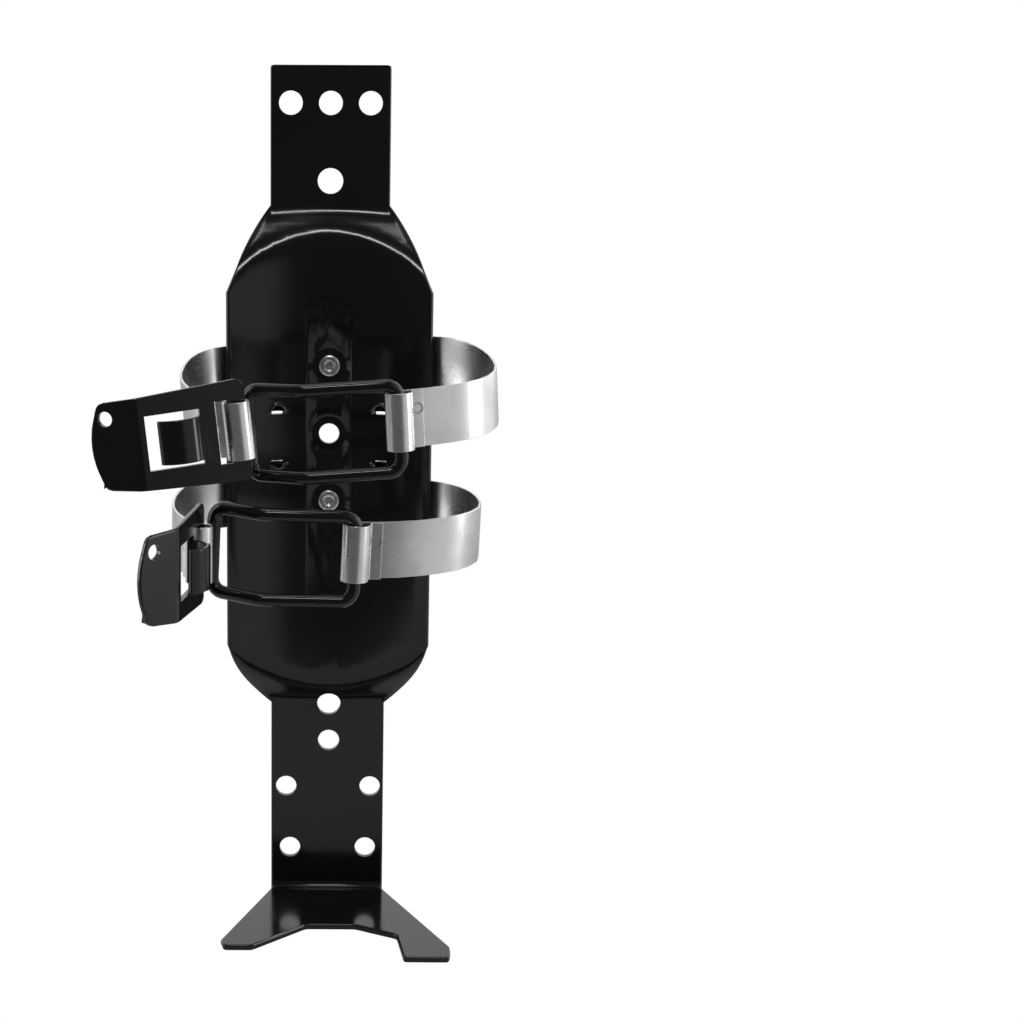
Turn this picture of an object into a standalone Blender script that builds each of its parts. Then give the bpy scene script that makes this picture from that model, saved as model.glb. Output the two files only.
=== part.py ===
import math

import bmesh
import bpy
from mathutils import Matrix, Vector
from mathutils.geometry import interpolate_bezier

# Wall bracket for a cylinder: +Z up, front towards -Y, wall plane at y = 0.
# The origin lies on the back of the top flange, between its hole row and its single hole.
# All lengths are in metres and all angles in degrees.

# Back plate: one pressed sheet with two flat flanges, a trough and a bent foot
SHEET = 0.003
FLANGE_WIDTH = 0.058
FLANGE_ABOVE_ORIGIN = 0.0364
FLANGE_BELOW_ORIGIN = 0.0306
FLANGE_CORNER = 0.0018
SHOULDER_LENGTH = 0.0401
SHOULDER_BULGE = 0.0012
BODY_WIDTH = 0.100
BODY_LENGTH = 0.1734
TAPER_LENGTH = 0.0353
TAPER_BULGE = 0.0030
LOWER_FLANGE_WIDTH = 0.057
LOWER_FLANGE_LENGTH = 0.0983
TROUGH_RADIUS = 0.088
TROUGH_OFFSET = 0.0085
STEP_LENGTH = 0.016
STEP_ARCH = 0.026
PLATE_EDGE_ROUND = 0.0008

# Foot, bent forward from the lower flange, with two horns of unlike length
FOOT_BEND = 0.0055
FOOT_CENTRE_DEPTH = 0.0545
FOOT_CENTRE_LEFT = -0.010
FOOT_CENTRE_RIGHT = 0.014
LEFT_HORN_DEPTH = 0.081
LEFT_HORN_OUTER = -0.0492
LEFT_HORN_INNER = -0.0355
LEFT_HORN_SHOULDER = 0.0732
LEFT_FLARE = 0.325
LEFT_HORN_LEAN = 0.0019
RIGHT_HORN_DEPTH = 0.0944
RIGHT_HORN_OUTER = 0.0592
RIGHT_HORN_INNER = 0.0367
RIGHT_SLANT_X = 0.0341
RIGHT_SLANT_DEPTH = 0.0666
RIGHT_FLARE = 0.405
RIGHT_HORN_TIP_LEAN = 0.0010
RIGHT_HORN_TIP_LENGTH = 0.0060
RIGHT_HORN_SIDE = 0.0165
HORN_CORNER = 0.0016

# Fixing holes: sideways place, height from the origin, diameter
TOP_ROW_PITCH = 0.0192
TOP_ROW_HEIGHT = 0.0185
TOP_ROW_HOLE = 0.0115
SINGLE_HOLE_HEIGHT = -0.0185
SINGLE_HOLE = 0.0124
LOWER_HOLES = (
    (0.0006, -0.2800, 0.0118),
    (0.0006, -0.2994, 0.0108),
    (-0.0209, -0.3238, 0.0105),
    (0.0217, -0.3238, 0.0105),
    (-0.0189, -0.3565, 0.0105),
    (0.0195, -0.3565, 0.0105),
)

# Features pressed into the trough
CENTRE_HOLE_HEIGHT = -0.1407
CENTRE_HOLE = 0.0100
DIMPLE_FLOOR = 0.0170
DIMPLE_DEPTH = 0.0015
TAB_SPREAD = 0.0255
TAB_RADIUS = 0.0056
TAB_RISE = 0.0026
TAB_WALL = 0.0014
TAB_HOLLOW = 0.0036
TAB_OVERRUN = 0.0010
UPPER_TAB_EDGE = 0.0112
LOWER_TAB_EDGE = 0.0136

# Rivets
RIVET_SHANK = 0.0062
RIVET_HEAD = 0.0180
RIVET_HEAD_HEIGHT = 0.0032
RIVET_TAIL = 0.0104
RIVET_TAIL_HEIGHT = 0.0026
RIVET_RECESS = 0.0042
RIVET_RECESS_FLOOR = 0.0006
RIVET_LIP = 0.0008
RIVET_EDGE = 0.0003
CLEARANCE = 0.0003

# Strap strip and the loop folded at each of its ends
STRAP_WIDTH = 0.026
STRAP_THICKNESS = 0.0012
STRAP_EDGE_ROUND = 0.00025
LOOP_RADIUS = 0.0057
LOOP_WRAP = 258.0
LAP_REACH = 0.0125
LAP_BEND = 0.0011

# Wire bail
WIRE = 0.0062
BAIL_HEIGHT = 0.0455
BAIL_CORNER = 0.0060
BAIL_KNEE_SHARE = 0.63
BAIL_KNEE_RISE = 0.0095
BAIL_KNEE_RADIUS = 0.012
BAIL_LEAN = 2.0
LEG_CLEARANCE = 0.0007

# Lever plate
LEVER_SHEET = 0.0025
LEVER_HEIGHT = 0.046
LEVER_TIP_HEIGHT = 0.039
LEVER_MAIN = 0.046
LEVER_FINGER = 0.0215
LEVER_BEND = 34.0
LEVER_BEND_RADIUS = 0.006
LEVER_TIP_ARC = 0.0035
LEVER_CORNER = 0.004
LEVER_BAR = 0.0043
LEVER_EDGE_ROUND = 0.0006
SLOT_REACH = 0.0100
SLOT_PLAY = 0.0012
WINDOW_START = 0.0170
WINDOW_LENGTH = 0.0250
WINDOW_HEIGHT = 0.0245
TONGUE_HEIGHT = 0.0195
TONGUE_RADIUS = 0.0108
TONGUE_SHEET = 0.0022
TONGUE_START = 184.0
TONGUE_END = 28.0
TONGUE_ROOT = 0.0006
LEVER_HOLE = 0.0068
LEVER_HOLE_IN = 0.0080
LEVER_HOLE_DOWN = 0.0070

# The two straps with their latches, as they stand in use: loop centres, tilts and lever angle
UPPER = {
    "rivet": -0.1071, "left_loop": (-0.0399, -0.108, -0.1242), "right_loop": (0.0314, -0.108, -0.1198),
    "left_heading": 24.0, "right_heading": 16.0, "left_reach": -0.0675, "right_reach": 0.0775,
    "back_roll": 3.1, "left_roll": 6.3, "right_roll": 3.2, "lever_angle": 17.6,
}
LOWER = {
    "rivet": -0.1739, "left_loop": (-0.0577, -0.108, -0.1804), "right_loop": (0.0122, -0.108, -0.1794),
    "left_heading": 34.0, "right_heading": 6.0, "left_reach": -0.0725, "right_reach": 0.0705,
    "back_roll": -1.3, "left_roll": -0.5, "right_roll": -2.5, "lever_angle": 81.0,
}
SIDE_DEPTH = 0.064
SIDE_DROP_SHARE = 0.45
CURVE_PULL = 0.38

# Facets
COLUMNS = 16
STEP_ROWS = 12
BEND_ROWS = 5
LOOP_STEPS = 17
SIDE_STEPS = 8
ROUND_STEPS = 24
ARC_STEPS = 5
LAP_STEPS = 4
TONGUE_STEPS = 12

SHOULDER_TOP = -FLANGE_BELOW_ORIGIN
SHOULDER_END = SHOULDER_TOP - SHOULDER_LENGTH
TAPER_TOP = SHOULDER_END - BODY_LENGTH
TAPER_END = TAPER_TOP - TAPER_LENGTH
FOOT_UNDERSIDE = TAPER_END - LOWER_FLANGE_LENGTH - SHEET
BOSS_FACE = -TROUGH_OFFSET + DIMPLE_DEPTH
BOSS_RADIUS = DIMPLE_FLOOR / 2 + DIMPLE_DEPTH
# The strap's curve touches the flat boss at the boss's rim, so its middle stands off by this much
STRAP_STANDOFF = TROUGH_RADIUS - math.sqrt(TROUGH_RADIUS ** 2 - BOSS_RADIUS ** 2) + CLEARANCE


def clear_scene():
    for obj in list(bpy.data.objects):
        bpy.data.objects.remove(obj, do_unlink=True)


def make_collection(name):
    collection = bpy.data.collections.new(name)
    bpy.context.scene.collection.children.link(collection)
    return collection


def make_material(name, colour, roughness, metallic):
    material = bpy.data.materials.new(name)
    material.use_nodes = True
    shader = material.node_tree.nodes["Principled BSDF"]
    shader.inputs["Base Color"].default_value = (*colour, 1.0)
    shader.inputs["Roughness"].default_value = roughness
    shader.inputs["Metallic"].default_value = metallic
    return material


def add_object(name, mesh, collection, matrix=None):
    obj = bpy.data.objects.new(name, mesh)
    collection.objects.link(obj)
    if matrix is not None:
        obj.matrix_world = matrix
    return obj


def mesh_from(bm, name):
    bmesh.ops.recalc_face_normals(bm, faces=bm.faces)
    mesh = bpy.data.meshes.new(name)
    bm.to_mesh(mesh)
    bm.free()
    return mesh


def sheet_mesh(rows, name):
    # A grid of points becomes an open sheet whose faces keep the order of the rows
    bm = bmesh.new()
    grid = [[bm.verts.new(point) for point in row] for row in rows]
    for upper, lower in zip(grid, grid[1:]):
        for left, right, low_right, low_left in zip(upper, upper[1:], lower[1:], lower):
            bm.faces.new((left, right, low_right, low_left))
    mesh = bpy.data.meshes.new(name)
    bm.to_mesh(mesh)
    bm.free()
    return mesh


def thicken(obj, thickness, offset):
    modifier = obj.modifiers.new("thickness", "SOLIDIFY")
    modifier.thickness = thickness
    modifier.offset = offset
    modifier.use_even_offset = True


def round_edges(obj, width, segments):
    modifier = obj.modifiers.new("rounding", "BEVEL")
    modifier.width = width
    modifier.segments = segments
    modifier.limit_method = "ANGLE"
    modifier.angle_limit = math.radians(50)
    modifier.use_clamp_overlap = False


def merge_flats(obj):
    # Faces that lie in one plane become one, so that a punched hole meets no needless edges
    modifier = obj.modifiers.new("flats", "DECIMATE")
    modifier.decimate_type = "DISSOLVE"
    modifier.angle_limit = math.radians(0.1)


def combine(obj, tool, operation):
    modifier = obj.modifiers.new(tool.name, "BOOLEAN")
    modifier.operation = operation
    modifier.solver = "EXACT"
    modifier.object = tool


def cone_tool(name, cutters, matrix, low_radius, high_radius, length):
    # Axis along local Z, centred on the matrix, with no corner straight above the axis
    matrix = matrix @ Matrix.Rotation(math.pi / ROUND_STEPS, 4, "Z")
    bm = bmesh.new()
    bmesh.ops.create_cone(bm, cap_ends=True, segments=ROUND_STEPS, radius1=low_radius,
                          radius2=high_radius, depth=length)
    return hide_tool(add_object(name, mesh_from(bm, name), cutters, matrix))


def box_tool(name, cutters, matrix, size):
    bm = bmesh.new()
    bmesh.ops.create_cube(bm, size=1.0)
    bmesh.ops.scale(bm, vec=size, verts=bm.verts)
    return hide_tool(add_object(name, mesh_from(bm, name), cutters, matrix))


def hide_tool(tool):
    tool.hide_render = True
    tool.display_type = "WIRE"
    return tool


def finish_mesh(obj, material, sharp_angle=35):
    # The modifiers are applied here so that the shading can follow the final edges
    depsgraph = bpy.context.evaluated_depsgraph_get()
    mesh = bpy.data.meshes.new_from_object(obj.evaluated_get(depsgraph))
    obj.modifiers.clear()
    obj.data = mesh
    mesh.name = obj.name
    mesh.shade_smooth()
    mesh.set_sharp_from_angle(angle=math.radians(sharp_angle))
    mesh.materials.clear()
    mesh.materials.append(material)


def blend(low, high, share):
    return low + (high - low) * share


def smooth_step(share):
    share = min(max(share, 0.0), 1.0)
    return share * share * (3.0 - 2.0 * share)


def fillet(before, corner, after, radius, steps):
    # Points of the arc that rounds one corner of a path
    back = (before - corner).normalized()
    ahead = (after - corner).normalized()
    half = back.angle(ahead) / 2.0
    centre = corner + (back + ahead).normalized() * (radius / math.sin(half))
    start = corner + back * (radius / math.tan(half)) - centre
    end = corner + ahead * (radius / math.tan(half)) - centre
    sweep = math.pi - 2.0 * half
    axis = start.cross(end).normalized()
    return [centre + Matrix.Rotation(sweep * step / steps, 3, axis) @ start for step in range(steps + 1)]


def plate_half_width(height):
    if height >= SHOULDER_TOP:
        return FLANGE_WIDTH / 2
    if height > SHOULDER_END:
        share = (SHOULDER_TOP - height) / SHOULDER_LENGTH
        bulge = SHOULDER_BULGE * math.sin(math.pi * share)
        return blend(FLANGE_WIDTH, BODY_WIDTH, share) / 2 + bulge
    if height >= TAPER_TOP:
        return BODY_WIDTH / 2
    if height > TAPER_END:
        share = (TAPER_TOP - height) / TAPER_LENGTH
        bulge = TAPER_BULGE * math.sin(math.pi * share)
        return blend(BODY_WIDTH, LOWER_FLANGE_WIDTH, share) / 2 + bulge
    return LOWER_FLANGE_WIDTH / 2


def trough_depth(x):
    return TROUGH_OFFSET + TROUGH_RADIUS - math.sqrt(TROUGH_RADIUS ** 2 - x * x)


def plate_back(x, height):
    # The step down from each flange is steep in the middle and arches out towards the edges
    run = STEP_LENGTH + STEP_ARCH * (2.0 * x / BODY_WIDTH) ** 2
    from_top = smooth_step((SHOULDER_TOP - height) / run)
    from_bottom = smooth_step((height - TAPER_END) / run)
    return -trough_depth(x) * min(from_top, from_bottom)


def plate_rows():
    shares = [2.0 * column / COLUMNS - 1.0 for column in range(COLUMNS + 1)]
    rows = []
    for step in range(4):
        turn = math.radians(30.0 * step)
        height = FLANGE_ABOVE_ORIGIN - FLANGE_CORNER * (1.0 - math.cos(turn))
        half = FLANGE_WIDTH / 2 - FLANGE_CORNER * (1.0 - math.sin(turn))
        rows.append([Vector((share * half, 0.0, height)) for share in shares])
    heights = [blend(SHOULDER_TOP, SHOULDER_END, step / STEP_ROWS) for step in range(STEP_ROWS + 1)]
    heights += [blend(TAPER_TOP, TAPER_END, step / STEP_ROWS) for step in range(STEP_ROWS + 1)]
    for height in heights:
        half = plate_half_width(height)
        rows.append([Vector((share * half, plate_back(share * half, height), height)) for share in shares])
    half = LOWER_FLANGE_WIDTH / 2
    for step in range(BEND_ROWS + 1):
        turn = math.radians(90.0 * step / BEND_ROWS)
        place = (-FOOT_BEND * (1.0 - math.cos(turn)), FOOT_UNDERSIDE + FOOT_BEND * (1.0 - math.sin(turn)))
        rows.append([Vector((share * half, *place)) for share in shares])
    reach = RIGHT_HORN_DEPTH + SHEET
    left = half + LEFT_FLARE * (reach - FOOT_BEND)
    right = half + RIGHT_FLARE * (reach - FOOT_BEND)
    rows.append([Vector((share * (left if share < 0 else right), -reach, FOOT_UNDERSIDE)) for share in shares])
    return rows


def foot_front_tool(cutters):
    # Everything in front of the foot's edge, as one prism with rounded corners
    side = BODY_WIDTH
    outline = (
        (-side, -LEFT_HORN_SHOULDER), (LEFT_HORN_OUTER - LEFT_HORN_LEAN, -LEFT_HORN_SHOULDER),
        (LEFT_HORN_OUTER, -LEFT_HORN_DEPTH), (LEFT_HORN_INNER, -LEFT_HORN_DEPTH),
        (FOOT_CENTRE_LEFT, -FOOT_CENTRE_DEPTH), (FOOT_CENTRE_RIGHT, -FOOT_CENTRE_DEPTH),
        (RIGHT_SLANT_X, -RIGHT_SLANT_DEPTH), (RIGHT_HORN_INNER, -RIGHT_HORN_DEPTH),
        (RIGHT_HORN_OUTER - RIGHT_HORN_TIP_LEAN, -RIGHT_HORN_DEPTH),
        (RIGHT_HORN_OUTER, RIGHT_HORN_TIP_LENGTH - RIGHT_HORN_DEPTH),
        (RIGHT_HORN_OUTER, RIGHT_HORN_SIDE - RIGHT_HORN_DEPTH), (side, RIGHT_HORN_SIDE - RIGHT_HORN_DEPTH),
        (side, -RIGHT_HORN_DEPTH - side / 2), (-side, -RIGHT_HORN_DEPTH - side / 2),
    )
    bm = bmesh.new()
    low = FOOT_UNDERSIDE - SHEET
    corners = [bm.verts.new((x, y, low)) for x, y in outline]
    bm.faces.new(corners)
    bmesh.ops.bevel(bm, geom=corners[2:10], offset=HORN_CORNER, segments=3, profile=0.5, affect="VERTICES")
    lifted = bmesh.ops.extrude_face_region(bm, geom=bm.faces[:])["geom"]
    verts = [item for item in lifted if isinstance(item, bmesh.types.BMVert)]
    bmesh.ops.translate(bm, vec=(0, 0, 3 * SHEET), verts=verts)
    return hide_tool(add_object("foot_front", mesh_from(bm, "foot_front"), cutters))


def along_y(x, y, z):
    # A frame whose local Z points to the front
    return Matrix.Translation((x, y, z)) @ Matrix.Rotation(math.radians(90), 4, "X")


def punch(plate, cutters, name, x, height, y, diameter):
    tool = cone_tool(name, cutters, along_y(x, y, height), diameter / 2, diameter / 2, 6 * SHEET)
    combine(plate, tool, "DIFFERENCE")


def press_dimple(plate, cutters, name, height):
    # A flat-bottomed dish pushed to the back, with the sheet's thickness kept
    floor = DIMPLE_FLOOR / 2
    boss = cone_tool(name + "_boss", cutters, along_y(0, BOSS_FACE - SHEET / 2, height),
                     BOSS_RADIUS, BOSS_RADIUS + DIMPLE_DEPTH, SHEET)
    combine(plate, boss, "UNION")
    depth = DIMPLE_DEPTH + SHEET
    dish = cone_tool(name + "_dish", cutters, along_y(0, BOSS_FACE - SHEET - depth / 2, height),
                     floor, floor + depth, depth)
    combine(plate, dish, "DIFFERENCE")


def half_dome(name, cutters, matrix, radius, rise, overrun):
    # Half of a flattened ball: local Y is its depth, and its straight side lies at z = -overrun
    bm = bmesh.new()
    bmesh.ops.create_uvsphere(bm, u_segments=16, v_segments=10, radius=1.0)
    bmesh.ops.scale(bm, vec=(radius, rise, radius), verts=bm.verts)
    geometry = bm.verts[:] + bm.edges[:] + bm.faces[:]
    cut = bmesh.ops.bisect_plane(bm, geom=geometry, plane_co=(0, 0, -overrun), plane_no=(0, 0, -1),
                                 clear_outer=True)
    rim = [item for item in cut["geom_cut"] if isinstance(item, bmesh.types.BMEdge)]
    bmesh.ops.contextual_create(bm, geom=rim)
    return hide_tool(add_object(name, mesh_from(bm, name), cutters, matrix))


def lance_tab(plate, cutters, name, side, direction, edge):
    # A half-moon stop, pushed out towards the strap and open along its straight edge
    x = side * TAB_SPREAD
    turn = math.asin(TAB_SPREAD / TROUGH_RADIUS) * side
    lie = Matrix.Translation((x, -trough_depth(x), CENTRE_HOLE_HEIGHT + direction * edge))
    lie = lie @ Matrix.Rotation(-turn, 4, "Z")
    if direction < 0:
        lie = lie @ Matrix.Rotation(math.pi, 4, "Y")
    outer = half_dome(name + "_outer", cutters, lie @ Matrix.Translation((0, -SHEET / 2, 0)),
                      TAB_RADIUS, TAB_RISE + SHEET / 2, 0.0)
    combine(plate, outer, "UNION")
    inner = half_dome(name + "_inner", cutters, lie @ Matrix.Translation((0, -TAB_HOLLOW, 0)),
                      TAB_RADIUS - TAB_WALL, TAB_RISE + TAB_HOLLOW - TAB_WALL, TAB_OVERRUN)
    combine(plate, inner, "DIFFERENCE")


def make_back_plate(parts, cutters, paint):
    plate = add_object("back_plate", sheet_mesh(plate_rows(), "back_plate"), parts)
    thicken(plate, SHEET, -1)
    combine(plate, foot_front_tool(cutters), "DIFFERENCE")
    round_edges(plate, PLATE_EDGE_ROUND, 2)
    merge_flats(plate)
    middle = -SHEET / 2
    for index, x in enumerate((-TOP_ROW_PITCH, 0.0, TOP_ROW_PITCH)):
        punch(plate, cutters, f"top_hole_{index}", x, TOP_ROW_HEIGHT, middle, TOP_ROW_HOLE)
    punch(plate, cutters, "single_hole", 0.0, SINGLE_HOLE_HEIGHT, middle, SINGLE_HOLE)
    for index, (x, height, diameter) in enumerate(LOWER_HOLES):
        punch(plate, cutters, f"lower_hole_{index}", x, height, middle, diameter)
    rivet_hole = RIVET_SHANK + 2 * CLEARANCE
    for name, height, diameter in (("upper", UPPER["rivet"], rivet_hole), ("lower", LOWER["rivet"], rivet_hole),
                                   ("centre", CENTRE_HOLE_HEIGHT, CENTRE_HOLE)):
        press_dimple(plate, cutters, name + "_dimple", height)
        punch(plate, cutters, name + "_hole", 0.0, height, -TROUGH_OFFSET, diameter)
    for side in (-1, 1):
        lance_tab(plate, cutters, f"upper_tab_{side + 1}", side, 1, UPPER_TAB_EDGE)
        lance_tab(plate, cutters, f"lower_tab_{side + 1}", side, -1, LOWER_TAB_EDGE)
    finish_mesh(plate, paint)


def make_rivet(parts, name, height, metal):
    # Turned about local Z, which points to the front: clinched tail, shank, domed head
    tail = RIVET_TAIL / 2
    bore = RIVET_RECESS / 2
    shank = RIVET_SHANK / 2
    head = RIVET_HEAD / 2
    seat = SHEET + CLEARANCE
    top = seat + RIVET_TAIL_HEIGHT
    under = -(STRAP_STANDOFF + STRAP_THICKNESS + CLEARANCE)
    middle = (bore + tail) / 2
    profile = [(0.0, seat + RIVET_RECESS_FLOOR), (bore - RIVET_EDGE, seat + RIVET_RECESS_FLOOR)]
    for step in range(ARC_STEPS + 1):
        turn = math.pi * step / ARC_STEPS
        profile.append((middle - (middle - bore) * math.cos(turn), top - RIVET_LIP * (1.0 - math.sin(turn))))
    profile += [(tail - RIVET_EDGE, seat), (shank, seat), (shank, under), (head - RIVET_EDGE, under)]
    for step in range(ARC_STEPS + 1):
        turn = math.radians(90.0 * step / ARC_STEPS)
        rise = (RIVET_HEAD_HEIGHT - RIVET_EDGE) * math.sin(turn)
        profile.append((head * math.cos(turn), under - RIVET_EDGE - rise))
    profile[-1] = (0.0, profile[-1][1])
    bm = bmesh.new()
    verts = [bm.verts.new((radius, 0.0, z)) for radius, z in profile]
    for first, second in zip(verts, verts[1:]):
        bm.edges.new((first, second))
    mesh = bpy.data.meshes.new(name)
    bm.to_mesh(mesh)
    bm.free()
    rivet = add_object(name, mesh, parts, along_y(0.0, BOSS_FACE, height))
    screw = rivet.modifiers.new("turning", "SCREW")
    screw.steps = ROUND_STEPS
    screw.render_steps = ROUND_STEPS
    screw.use_merge_vertices = True
    screw.merge_threshold = 0.00001
    finish_mesh(rivet, metal)


def loop_frame(centre, roll):
    return Matrix.Translation(centre) @ Matrix.Rotation(-math.radians(roll), 4, "Y")


def loop_axes(heading, side):
    # Strip direction towards the loop, and the way out to the front; side is -1 left, 1 right
    turn = math.radians(heading)
    ahead = Vector((-side * math.cos(turn), -math.sin(turn), 0.0))
    out = Vector((side * math.sin(turn), -math.cos(turn), 0.0))
    return ahead, out


def loop_path(heading, side):
    # From the end of the straight strip, round the pin and back to the end of the lap
    ahead, out = loop_axes(heading, side)
    points = []
    for step in range(LOOP_STEPS + 1):
        turn = math.radians(LOOP_WRAP * step / LOOP_STEPS)
        points.append(ahead * (LOOP_RADIUS * math.sin(turn)) - out * (LOOP_RADIUS * math.cos(turn)))
    turn = math.radians(LOOP_WRAP)
    down = out * math.sin(turn) + ahead * math.cos(turn)
    lap_line = -LOOP_RADIUS + STRAP_THICKNESS + CLEARANCE
    corner = points[-1] + down * ((lap_line - points[-1].dot(out)) / down.dot(out))
    end = out * lap_line - ahead * LAP_REACH
    return points + fillet(points[-1], corner, end, LAP_BEND, LAP_STEPS) + [end]


def side_path(start, start_way, reach, edge, edge_way, frame_roll, edge_roll):
    # From the loop round the side of the ring to the plate's edge
    turn_point = Vector((reach, -SIDE_DEPTH, blend(start.z, edge.z, SIDE_DROP_SHARE)))
    turn_way = Vector((0.0, 1.0, (edge.z - start.z) / (edge.y - start.y)))
    points = []
    legs = ((start, start_way, turn_point, turn_way), (turn_point, turn_way, edge, edge_way))
    for first, first_way, last, last_way in legs:
        pull = CURVE_PULL * (last - first).length
        points += interpolate_bezier(first, first + first_way * pull, last - last_way * pull, last,
                                     SIDE_STEPS + 1)[1:]
    count = len(points)
    return [(point, blend(frame_roll, edge_roll, (index + 1) / count)) for index, point in enumerate(points)]


def strap_path(strap):
    # Points of the strip's middle line with the roll of its width at each, left loop to right loop
    line = BOSS_FACE + STRAP_STANDOFF + STRAP_THICKNESS / 2
    arc = TROUGH_RADIUS + DIMPLE_DEPTH + STRAP_STANDOFF + STRAP_THICKNESS / 2
    rise = math.tan(math.radians(strap["back_roll"]))
    back = []
    for step in range(COLUMNS + 1):
        x = BODY_WIDTH * (step / COLUMNS - 0.5)
        y = line - arc + math.sqrt(arc * arc - x * x)
        back.append((Vector((x, y, strap["rivet"] + rise * x)), strap["back_roll"]))
    halves = []
    for side, name, reach in ((-1, "left", strap["left_reach"]), (1, "right", strap["right_reach"])):
        roll = strap[name + "_roll"]
        frame = loop_frame(strap[name + "_loop"], roll)
        ahead, out = loop_axes(strap[name + "_heading"], side)
        loop = [(frame @ point, roll) for point in loop_path(strap[name + "_heading"], side)]
        edge, edge_roll = back[0] if side < 0 else back[-1]
        edge_turn = math.asin(BODY_WIDTH / 2 / arc)
        edge_way = Vector((-side * math.cos(edge_turn), math.sin(edge_turn), -side * rise))
        middle = side_path(loop[0][0], -(frame.to_3x3() @ ahead), reach, edge, edge_way, roll, edge_roll)
        halves.append(loop[::-1] + middle[:-1])
    return halves[0] + back + halves[1][::-1]


def make_strap(parts, cutters, name, strap, metal):
    rows = []
    for point, roll in strap_path(strap):
        turn = math.radians(roll)
        up = Vector((-math.sin(turn), 0.0, math.cos(turn))) * (STRAP_WIDTH / 2)
        rows.append([point + up, point - up])
    obj = add_object(name, sheet_mesh(rows, name), parts)
    thicken(obj, STRAP_THICKNESS, 0)
    round_edges(obj, STRAP_EDGE_ROUND, 1)
    hole = RIVET_SHANK / 2 + CLEARANCE
    tool = cone_tool(name + "_hole", cutters, along_y(0, BOSS_FACE, strap["rivet"]), hole, hole, 2 * SHEET)
    combine(obj, tool, "DIFFERENCE")
    finish_mesh(obj, metal)


def leg_place(strap):
    # The bail's free leg lies against the inner side of the left loop
    frame = loop_frame(strap["left_loop"], strap["left_roll"])
    ahead, out = loop_axes(strap["left_heading"], -1)
    return frame @ (-out * (LOOP_RADIUS + STRAP_THICKNESS / 2 + LEG_CLEARANCE + WIRE / 2))


def bail_frame(strap):
    centre = Vector(strap["right_loop"])
    leg = leg_place(strap) - centre
    drop = (BAIL_HEIGHT - 2 * WIRE - STRAP_WIDTH) / 2 - CLEARANCE
    swing = math.atan2(-leg.y, -leg.x)
    lean = Matrix.Rotation(math.radians(BAIL_LEAN), 4, "X")
    frame = loop_frame(centre, strap["right_roll"]) @ lean @ Matrix.Rotation(math.pi + swing, 4, "Z")
    return frame @ Matrix.Translation((0, 0, -drop)), math.hypot(leg.x, leg.y)


def make_bail(parts, name, strap, paint):
    frame, span = bail_frame(strap)
    half = (BAIL_HEIGHT - WIRE) / 2
    knee = span * BAIL_KNEE_SHARE
    corners = []
    for level, order in ((half, 1), (-half, -1)):
        side = [(0.0, 0.0, BAIL_CORNER), (knee, BAIL_KNEE_RISE, BAIL_KNEE_RADIUS), (span, 0.0, BAIL_CORNER)]
        corners += [(Vector((x, y, level)), radius) for x, y, radius in side[::order]]
    points = []
    for index, (corner, radius) in enumerate(corners):
        before = corners[index - 1][0]
        after = corners[(index + 1) % len(corners)][0]
        points += fillet(before, corner, after, radius, ARC_STEPS)
    curve = bpy.data.curves.new(name, "CURVE")
    curve.dimensions = "3D"
    spline = curve.splines.new("POLY")
    spline.points.add(len(points) - 1)
    for place, point in zip(spline.points, points):
        place.co = (*point, 1.0)
    spline.use_cyclic_u = True
    spline.use_smooth = True
    curve.bevel_depth = WIRE / 2
    curve.bevel_resolution = 4
    curve.use_fill_caps = True
    curve.materials.append(paint)
    add_object(name, curve, parts, frame)


def lever_rows():
    # Local X runs from the hinge to the finger end, local Y out to the front, local Z up
    shares = [column / 4.0 - 1.0 for column in range(9)]
    bend = math.radians(LEVER_BEND)
    arc_length = LEVER_BEND_RADIUS * bend
    tangent = LEVER_BEND_RADIUS * math.tan(bend / 2)
    start = LEVER_MAIN - tangent
    total = start + arc_length + LEVER_FINGER - tangent

    def place(run):
        if run <= start:
            return run, 0.0
        turn = min((run - start) / LEVER_BEND_RADIUS, bend)
        x = start + LEVER_BEND_RADIUS * math.sin(turn)
        y = -LEVER_BEND_RADIUS * (1.0 - math.cos(turn))
        rest = max(run - start - arc_length, 0.0)
        return x + rest * math.cos(bend), y - rest * math.sin(bend)

    runs = [(-LEVER_BAR + LEVER_CORNER * (1 - math.cos(math.radians(a))), math.sin(math.radians(a)), 0.0)
            for a in (0, 30, 60, 90)]
    runs += [(start + arc_length * step / 4, 1.0, 0.0) for step in range(5)]
    runs += [(total - LEVER_CORNER * (1 - math.cos(math.radians(a))), math.sin(math.radians(a)),
              1.0) for a in (90, 60, 30, 0)]
    rows = []
    for run, corner, tip in runs:
        share = max(run, 0.0) / total
        half = blend(LEVER_HEIGHT, LEVER_TIP_HEIGHT, share) / 2 - LEVER_CORNER * (1.0 - corner)
        row = []
        for side in shares:
            x, y = place(run - tip * LEVER_TIP_ARC * side * side)
            row.append(Vector((x, y, side * half)))
        rows.append(row)
    return rows


def make_tongue(name, cutters, frame):
    # The lanced hook: an arc that rises from the window's hinge side and curls to the finger end
    centre = Vector((WINDOW_START + TONGUE_RADIUS - TONGUE_ROOT, -TONGUE_SHEET / 2, 0.0))
    rows = []
    for step in range(TONGUE_STEPS + 1):
        turn = math.radians(blend(TONGUE_START, TONGUE_END, step / TONGUE_STEPS))
        point = centre + Vector((math.cos(turn), math.sin(turn), 0.0)) * TONGUE_RADIUS
        up = Vector((0.0, 0.0, TONGUE_HEIGHT / 2))
        rows.append([point - up, point + up])
    tongue = add_object(name, sheet_mesh(rows, name), cutters, frame)
    thicken(tongue, TONGUE_SHEET, 0)
    round_edges(tongue, LEVER_EDGE_ROUND, 2)
    return hide_tool(tongue)


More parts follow.
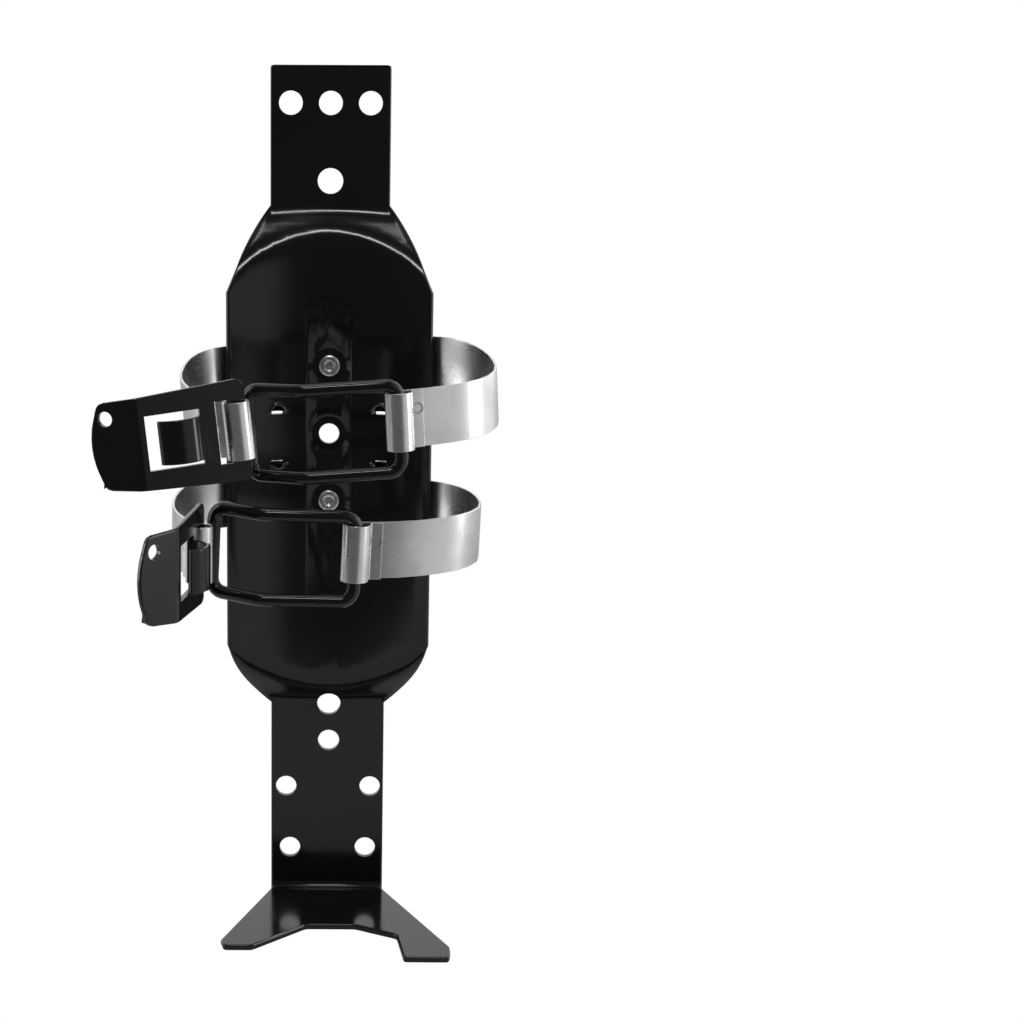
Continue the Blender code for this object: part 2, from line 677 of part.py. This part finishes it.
def make_lever(parts, cutters, name, strap, paint):
    turn = Matrix.Rotation(math.pi + math.radians(strap["lever_angle"]), 4, "Z")
    frame = loop_frame(strap["left_loop"], strap["left_roll"]) @ turn
    lever = add_object(name, sheet_mesh(lever_rows(), name), parts, frame)
    thicken(lever, LEVER_SHEET, 0)
    round_edges(lever, LEVER_EDGE_ROUND, 2)
    merge_flats(lever)
    slot = Matrix.Translation(((LEVER_BAR + SLOT_REACH) / 2, 0, 0))
    slot_tool = box_tool(name + "_slot", cutters, frame @ slot,
                         (SLOT_REACH - LEVER_BAR, 4 * LEVER_SHEET, STRAP_WIDTH + 2 * SLOT_PLAY))
    combine(lever, slot_tool, "DIFFERENCE")
    window = Matrix.Translation((WINDOW_START + WINDOW_LENGTH / 2, 0, 0))
    window_tool = box_tool(name + "_window", cutters, frame @ window,
                           (WINDOW_LENGTH, 4 * LEVER_SHEET, WINDOW_HEIGHT))
    combine(lever, window_tool, "DIFFERENCE")
    bend = math.radians(LEVER_BEND)
    hole = Matrix.Translation((LEVER_MAIN, 0, 0)) @ Matrix.Rotation(-bend, 4, "Z")
    hole = hole @ Matrix.Translation((LEVER_FINGER - LEVER_HOLE_IN, 0, LEVER_TIP_HEIGHT / 2 - LEVER_HOLE_DOWN))
    hole = hole @ Matrix.Rotation(math.radians(90), 4, "X")
    hole_tool = cone_tool(name + "_finger_hole", cutters, frame @ hole, LEVER_HOLE / 2, LEVER_HOLE / 2,
                          4 * LEVER_SHEET)
    combine(lever, hole_tool, "DIFFERENCE")
    combine(lever, make_tongue(name + "_tongue", cutters, frame), "UNION")
    finish_mesh(lever, paint)


def main():
    clear_scene()
    parts = make_collection("fire_extinguisher_bracket")
    cutters = make_collection("cutters")
    plate_paint = make_material("plate_paint", (0.012, 0.012, 0.013), 0.16, 0.0)
    lever_paint = make_material("lever_paint", (0.012, 0.012, 0.013), 0.2, 0.0)
    wire_paint = make_material("wire_paint", (0.010, 0.010, 0.011), 0.14, 0.0)
    strap_metal = make_material("strap_metal", (0.74, 0.74, 0.73), 0.24, 1.0)
    rivet_metal = make_material("rivet_metal", (0.70, 0.70, 0.69), 0.28, 1.0)
    make_back_plate(parts, cutters, plate_paint)
    for name, strap in (("upper", UPPER), ("lower", LOWER)):
        make_strap(parts, cutters, name + "_strap", strap, strap_metal)
        make_rivet(parts, name + "_rivet", strap["rivet"], rivet_metal)
        make_bail(parts, name + "_bail", strap, wire_paint)
        make_lever(parts, cutters, name + "_lever", strap, lever_paint)


main()
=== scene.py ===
import math

import bmesh
import bpy
from mathutils import Matrix, Vector


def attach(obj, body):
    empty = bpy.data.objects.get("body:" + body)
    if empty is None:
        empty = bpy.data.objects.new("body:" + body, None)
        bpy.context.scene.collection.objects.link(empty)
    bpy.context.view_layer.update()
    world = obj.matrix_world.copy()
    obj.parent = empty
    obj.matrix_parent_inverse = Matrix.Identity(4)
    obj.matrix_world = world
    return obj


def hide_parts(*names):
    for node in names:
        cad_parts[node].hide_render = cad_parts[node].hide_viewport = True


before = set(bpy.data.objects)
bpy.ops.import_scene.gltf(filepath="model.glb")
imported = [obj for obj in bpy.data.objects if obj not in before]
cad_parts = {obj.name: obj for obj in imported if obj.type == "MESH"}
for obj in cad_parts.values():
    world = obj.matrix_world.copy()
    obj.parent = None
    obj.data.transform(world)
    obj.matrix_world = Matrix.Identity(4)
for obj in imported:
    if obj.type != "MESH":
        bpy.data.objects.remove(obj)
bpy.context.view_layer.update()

# Looks for the wall bracket: gloss black pressed parts, bright strip, white studio.
# Lengths are in metres in the bracket's own frame, +Z up and the front towards -Y.


class Field:
    # A shader value that can be written as arithmetic

    def __init__(self, tree, socket):
        self.tree = tree
        self.socket = socket

    def combine(self, operation, first, second):
        maths = self.tree.nodes.new("ShaderNodeMath")
        maths.operation = operation
        for place, value in zip(maths.inputs, (first, second)):
            if isinstance(value, Field):
                self.tree.links.new(value.socket, place)
            else:
                place.default_value = value
        return Field(self.tree, maths.outputs[0])

    def __add__(self, other):
        return self.combine("ADD", self, other)

    def __radd__(self, other):
        return self.combine("ADD", other, self)

    def __sub__(self, other):
        return self.combine("SUBTRACT", self, other)

    def __rsub__(self, other):
        return self.combine("SUBTRACT", other, self)

    def __mul__(self, other):
        return self.combine("MULTIPLY", self, other)

    def __rmul__(self, other):
        return self.combine("MULTIPLY", other, self)

    def __pow__(self, other):
        return self.combine("POWER", self, other)

    def above(self, edge):
        return self.combine("GREATER_THAN", self, edge)

    def below(self, edge):
        return self.combine("LESS_THAN", self, edge)

    def sine(self):
        return self.combine("SINE", self, 0.0)


class Graph:
    # The nodes of one material or world

    def __init__(self, tree):
        self.tree = tree

    def make(self, kind, settings=None, values=None):
        node = self.tree.nodes.new(kind)
        for name, value in (settings or {}).items():
            setattr(node, name, value)
        for name, value in (values or {}).items():
            if isinstance(value, Field):
                self.tree.links.new(value.socket, node.inputs[name])
            elif isinstance(value, bpy.types.NodeSocket):
                self.tree.links.new(value, node.inputs[name])
            else:
                node.inputs[name].default_value = value
        return node

    def ramp(self, value, low, high, start=0.0, end=1.0):
        ramp = self.make("ShaderNodeMapRange", {"interpolation_type": "SMOOTHSTEP"}, {
            "Value": value, "From Min": low, "From Max": high, "To Min": start, "To Max": end})
        return Field(self.tree, ramp.outputs["Result"])

    def axes(self, vector):
        parts = self.make("ShaderNodeSeparateXYZ", values={"Vector": vector})
        return [Field(self.tree, output) for output in parts.outputs]

    def cameraRay(self):
        return Field(self.tree, self.make("ShaderNodeLightPath").outputs["Is Camera Ray"])


class Surface(Graph):
    # One material with a Principled shader and short ways to feed it

    def __init__(self, name, constants):
        self.material = bpy.data.materials.new(name)
        self.material.use_nodes = True
        super().__init__(self.material.node_tree)
        self.shader = self.tree.nodes["Principled BSDF"]
        for socket, value in constants.items():
            self.shader.inputs[socket].default_value = value
        self.place = self.make("ShaderNodeTexCoord").outputs["Object"]

    def stretched(self, scale, turn=(0.0, 0.0, 0.0)):
        return self.make("ShaderNodeMapping", values={
            "Vector": self.place, "Scale": scale, "Rotation": turn}).outputs["Vector"]

    def noise(self, scale, detail, vector=None):
        noise = self.make("ShaderNodeTexNoise", values={
            "Vector": vector or self.place, "Scale": scale, "Detail": detail})
        return Field(self.tree, noise.outputs["Fac"])

    def colour(self, factor, first, second):
        mix = self.make("ShaderNodeMix", {"data_type": "RGBA"}, {"Factor": factor})
        for name, value in (("A", first), ("B", second)):
            socket = [one for one in mix.inputs if one.name == name and one.type == "RGBA"][0]
            if isinstance(value, bpy.types.NodeSocket):
                self.tree.links.new(value, socket)
            else:
                socket.default_value = (*value, 1.0)
        return [one for one in mix.outputs if one.type == "RGBA"][0]

    def bump(self, height, depth, before=None):
        values = {"Height": height, "Distance": depth, "Strength": 1.0}
        if before:
            values["Normal"] = before
        return self.make("ShaderNodeBump", values=values).outputs["Normal"]

    def feed(self, name, value):
        self.tree.links.new(value.socket if isinstance(value, Field) else value, self.shader.inputs[name])


# The trough's own curve, for shading it without the marks of its facets
trough = {"radius": 0.088, "top": -0.0703, "bottom": -0.2445, "widestTurn": 3.4, "flat": 0.99995}


def troughShading(mesh, look):
    # Corners of flat faces take the face's direction and those in the trough take the cylinder's
    directions = []
    for face in mesh.polygons:
        heights = [mesh.vertices[index].co.z for index in face.vertices]
        inTrough = min(heights) >= look["bottom"] and max(heights) <= look["top"]
        for corner in face.loop_indices:
            x = mesh.vertices[mesh.loops[corner].vertex_index].co.x / look["radius"]
            wanted = Vector((-x, -math.sqrt(1 - x * x), 0.0))
            if wanted.dot(face.normal) < 0:
                wanted.negate()
            if inTrough and wanted.angle(face.normal) < math.radians(look["widestTurn"]):
                directions.append(wanted)
            elif max(abs(value) for value in face.normal) > look["flat"]:
                directions.append(face.normal.copy())
            else:
                directions.append((0.0, 0.0, 0.0))
    mesh.normals_split_custom_set(directions)


# Points nearer than the first value are one, and faces that turn less than the second (degrees) are one
joining = {"distance": 0.000002, "flatTurn": 0.15}


def smoothCopy(nodeName, bodyName, material, sharpAngle):
    # The same shape as the frame's piece, joined along its facets and shaded smooth between sharp edges
    work = bmesh.new()
    work.from_mesh(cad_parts[nodeName].data)
    bmesh.ops.remove_doubles(work, verts=work.verts, dist=joining["distance"])
    isWire = nodeName.endswith("bail")
    if not isWire:
        bmesh.ops.dissolve_limit(work, angle_limit=math.radians(joining["flatTurn"]),
                                 verts=work.verts, edges=work.edges)
    mesh = bpy.data.meshes.new(nodeName + "Look")
    work.to_mesh(mesh)
    work.free()
    mesh.shade_smooth()
    mesh.set_sharp_from_angle(angle=math.radians(sharpAngle))
    piece = bpy.data.objects.new(nodeName + "Look", mesh)
    bpy.context.scene.collection.objects.link(piece)
    mesh.materials.clear()
    mesh.materials.append(material)
    if nodeName == "back_plate":
        troughShading(mesh, trough)
    elif not isWire:
        weighted = piece.modifiers.new("evenShading", "WEIGHTED_NORMAL")
        weighted.keep_sharp = True
    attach(piece, bodyName)
    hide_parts(nodeName)


# Paint: gloss black powder coat with a slight orange peel
platePaint = {
    "black": (0.0035, 0.0035, 0.0038), "worn": (0.008, 0.008, 0.0085), "speck": (0.11, 0.11, 0.11),
    "roughness": 0.12, "roughnessSpread": 0.08, "peelDepth": 0.0000045, "peelScale": 620.0,
    "waveDepth": 0.00005, "waveScale": 34.0, "speckScale": 900.0, "speckEdges": (0.80, 0.83),
    "speckRoughness": 0.3, "handledScale": 20.4, "handledEdges": (0.45, 0.75), "shine": 0.42,
    "sharpAngle": 40,
}
leverPaint = dict(platePaint, roughness=0.14, roughnessSpread=0.09, peelDepth=0.000004)
wirePaint = dict(platePaint, roughness=0.08, roughnessSpread=0.06, peelDepth=0.000003, waveDepth=0.00001)


def makePaint(name, look):
    paint = Surface(name, {"Metallic": 0.0, "Specular IOR Level": look["shine"]})
    cloud = paint.noise(look["waveScale"], 3.0)
    peel = paint.noise(look["peelScale"], 1.5)
    speck = paint.ramp(paint.noise(look["speckScale"], 3.0), *look["speckEdges"])
    handled = paint.ramp(paint.noise(look["handledScale"], 5.0), *look["handledEdges"])
    black = paint.colour(cloud, look["black"], look["worn"])
    paint.feed("Base Color", paint.colour(speck, black, look["speck"]))
    paint.feed("Roughness", look["roughness"] + handled * look["roughnessSpread"]
               + speck * look["speckRoughness"])
    paint.feed("Normal", paint.bump(peel, look["peelDepth"], paint.bump(cloud, look["waveDepth"])))
    return paint.material


# Strip: bright plated steel, with the welds on its laps and the dents on its back
stripMetal = {
    "bright": (0.80, 0.80, 0.79), "dull": (0.66, 0.66, 0.65), "mark": (0.30, 0.29, 0.28),
    "roughness": 0.20, "roughnessSpread": 0.16, "grainDepth": 0.0000016,
    "grainScale": (60.0, 60.0, 1900.0), "dullScale": 55.0, "dullEdges": (0.35, 0.7),
    "scratchScale": (90.0, 90.0, 2600.0), "scratchRoughness": 0.12,
    # turn of each set of scratches, and the noise at which they start and are full
    "scratches": ((0.35, 0.66, 0.71), (-0.6, 0.68, 0.73)),
    "markDepth": 0.00012, "markFloor": 0.55, "rimStain": 0.8, "rimRoughness": 0.15,
    "lapDepth": -0.085, "backDepth": -0.05, "sharpAngle": 50,
    # across, up, radius and whether the mark is on the front laps
    "marks": ((0.0393, -0.1147, 0.0029, True), (0.0214, -0.1755, 0.0029, True),
              (-0.0510, -0.1254, 0.0024, True), (-0.0672, -0.1803, 0.0024, True),
              (0.0420, -0.1048, 0.0022, False), (-0.0420, -0.1094, 0.0022, False)),
}


def makeStrip(name, look):
    strip = Surface(name, {"Metallic": 1.0})
    grain = strip.noise(1.0, 3.0, strip.stretched(look["grainScale"]))
    cloud = strip.noise(look["dullScale"], 4.0)
    first, second = [
        strip.ramp(strip.noise(1.0, 2.0, strip.stretched(look["scratchScale"], (0.0, turn, 0.3))), low, high)
        for turn, low, high in look["scratches"]]
    across, depth, height = strip.axes(strip.place)
    onLap, onBack = depth.below(look["lapDepth"]), depth.above(look["backDepth"])
    pressed = 0.0 * across
    for x, z, radius, onFront in look["marks"]:
        far = ((across - x) ** 2.0 + (height - z) ** 2.0) ** 0.5
        dish = 1.0 - strip.ramp(far, radius * look["markFloor"], radius)
        pressed = pressed + dish * (onLap if onFront else onBack)
    rim = pressed * (1.0 - pressed) * 4.0  # 1 half way down the dish's side
    dull = strip.colour(strip.ramp(cloud, *look["dullEdges"]), look["bright"], look["dull"])
    strip.feed("Base Color", strip.colour(rim * look["rimStain"], dull, look["mark"]))
    strip.feed("Roughness", look["roughness"] + cloud * look["roughnessSpread"]
               + (first + second) * look["scratchRoughness"] + rim * look["rimRoughness"])
    fine = strip.bump(grain, look["grainDepth"])
    strip.feed("Normal", strip.bump(pressed, -look["markDepth"], fine))
    return strip.material


# Rivets: turned heads, dull between their rings
rivetMetal = {
    "bright": (0.74, 0.74, 0.73), "dull": (0.42, 0.42, 0.41), "dullEdges": (0.4, 0.65), "dullScale": 240.0,
    "roughness": 0.2, "roughnessSpread": 0.2, "ringScale": 5200.0, "ringDepth": 0.000004,
    "dentDepth": 0.00003, "heights": (-0.1071, -0.1739), "sharpAngle": 40,
}


def makeRivetMetal(name, look):
    rivet = Surface(name, {"Metallic": 1.0})
    across, _, height = rivet.axes(rivet.place)
    upper, lower = look["heights"]
    middle = upper + (lower - upper) * height.below((upper + lower) / 2)
    far = (across ** 2.0 + (height - middle) ** 2.0) ** 0.5
    rings = (far * look["ringScale"]).sine()
    cloud = rivet.noise(look["dullScale"], 4.0)
    dull = rivet.ramp(cloud, *look["dullEdges"])
    rivet.feed("Base Color", rivet.colour(dull, look["bright"], look["dull"]))
    rivet.feed("Roughness", look["roughness"] + cloud * look["roughnessSpread"])
    rivet.feed("Normal", rivet.bump(rings, look["ringDepth"], rivet.bump(cloud, look["dentDepth"])))
    return rivet.material


print("bracket: materials")
platePaintSurface = makePaint("plateGlossBlack", platePaint)
leverPaintSurface = makePaint("leverGlossBlack", leverPaint)
wirePaintSurface = makePaint("wireGlossBlack", wirePaint)
stripSurface = makeStrip("brightStrip", stripMetal)
rivetSurface = makeRivetMetal("brightRivet", rivetMetal)

print("bracket: plate, straps and rivets")
smoothCopy("back_plate", "frame", platePaintSurface, platePaint["sharpAngle"])
for level in ("upper", "lower"):
    smoothCopy(level + "_strap", "frame", stripSurface, stripMetal["sharpAngle"])
    smoothCopy(level + "_rivet", "frame", rivetSurface, rivetMetal["sharpAngle"])

print("bracket: bails and levers")
for level in ("upper", "lower"):
    smoothCopy(level + "_bail", level + "_bail", wirePaintSurface, wirePaint["sharpAngle"])
    smoothCopy(level + "_lever", level + "_lever", leverPaintSurface, leverPaint["sharpAngle"])


# Studio: white behind, dark in front, soft lights on both sides and above
studio = {
    "floorHeight": -0.3812, "floorPale": (0.62, 0.62, 0.62), "floorFront": -0.42, "floorBack": 2.5,
    "floorSide": 2.0, "floorRoughness": 0.9,
    # brightness of the surroundings, and the directions between which it changes
    "frontShade": 0.10, "behind": 0.95, "frontToBehind": (-0.35, 0.45),
    "rightShade": 0.45, "middleToRight": (0.35, 0.65),
    # name, place, target, size and power
    "lights": (
        ("leftLight", (-1.35, -0.20, 0.0), (0.0, 0.0, -0.2), (0.22, 1.2), 4.5),
        ("rightLight", (1.30, -0.25, 0.0), (0.0, 0.0, -0.2), (0.22, 1.2), 4.5),
        ("topLight", (0.0, -0.25, 1.20), (0.0, 0.0, -0.1), (0.7, 0.26), 2.6),
        ("frontTopLight", (0.0, -0.95, 0.95), (0.0, 0.0, -0.15), (0.5, 0.10), 3.2),
    ),
}


def makeFloor(look):
    # Seen directly it is plain white, and everything else meets a pale matt floor
    floorLook = Surface("paleFloor", {
        "Base Color": (*look["floorPale"], 1.0), "Roughness": look["floorRoughness"]})
    mixed = floorLook.make("ShaderNodeMixShader", values={"Fac": floorLook.cameraRay()})
    tree = floorLook.tree
    tree.links.new(floorLook.shader.outputs[0], mixed.inputs[1])
    tree.links.new(floorLook.make("ShaderNodeEmission").outputs[0], mixed.inputs[2])
    tree.links.new(mixed.outputs[0], tree.nodes["Material Output"].inputs["Surface"])
    mesh = bpy.data.meshes.new("floor")
    side, front, back, z = look["floorSide"], look["floorFront"], look["floorBack"], look["floorHeight"]
    corners = [(-side, front, z), (side, front, z), (side, back, z), (-side, back, z)]
    mesh.from_pydata(corners, [], [(0, 1, 2, 3)])
    mesh.materials.append(floorLook.material)
    floor = bpy.data.objects.new("floor", mesh)
    bpy.context.scene.collection.objects.link(floor)


def makeWorld(look):
    world = bpy.data.worlds.new("studio")
    bpy.context.scene.world = world
    world.use_nodes = True
    graph = Graph(world.node_tree)
    across, depth, _ = graph.axes(graph.make("ShaderNodeTexCoord").outputs["Generated"])
    shade = (graph.ramp(depth, *look["frontToBehind"], look["frontShade"], look["behind"])
             + graph.ramp(across, *look["middleToRight"], 0.0, look["rightShade"]))
    seen = graph.cameraRay()
    background = graph.tree.nodes["Background"]
    background.inputs["Color"].default_value = (1.0, 1.0, 1.0, 1.0)
    graph.tree.links.new((seen + (1 - seen) * shade).socket, background.inputs["Strength"])


def makeLight(name, place, target, size, power):
    light = bpy.data.lights.new(name, "AREA")
    light.shape = "RECTANGLE"
    light.size, light.size_y = size
    light.energy = power
    obj = bpy.data.objects.new(name, light)
    obj.location = place
    obj.rotation_euler = (Vector(target) - Vector(place)).to_track_quat("-Z", "Y").to_euler()
    bpy.context.scene.collection.objects.link(obj)


print("bracket: studio")
makeFloor(studio)
makeWorld(studio)
for light in studio["lights"]:
    makeLight(*light)


# Camera: a little above the bracket, with the bracket in the left third of the picture
view = {"place": (0.00115, -1.0289, 0.0181), "tilt": 79.0, "roll": 0.33, "lens": 73.83, "sensor": 36.0,
        "shift": 0.1768}
camera = bpy.data.objects.new("camera", bpy.data.cameras.new("camera"))
camera.data.lens = view["lens"]
camera.data.sensor_width = view["sensor"]
camera.data.shift_x = view["shift"]
camera.matrix_world = (Matrix.Translation(view["place"]) @ Matrix.Rotation(math.radians(view["tilt"]), 4, "X")
                       @ Matrix.Rotation(math.radians(view["roll"]), 4, "Z"))
bpy.context.scene.collection.objects.link(camera)
bpy.context.scene.camera = camera
bpy.context.scene.view_settings.view_transform = "Standard"

print("bracket: done")
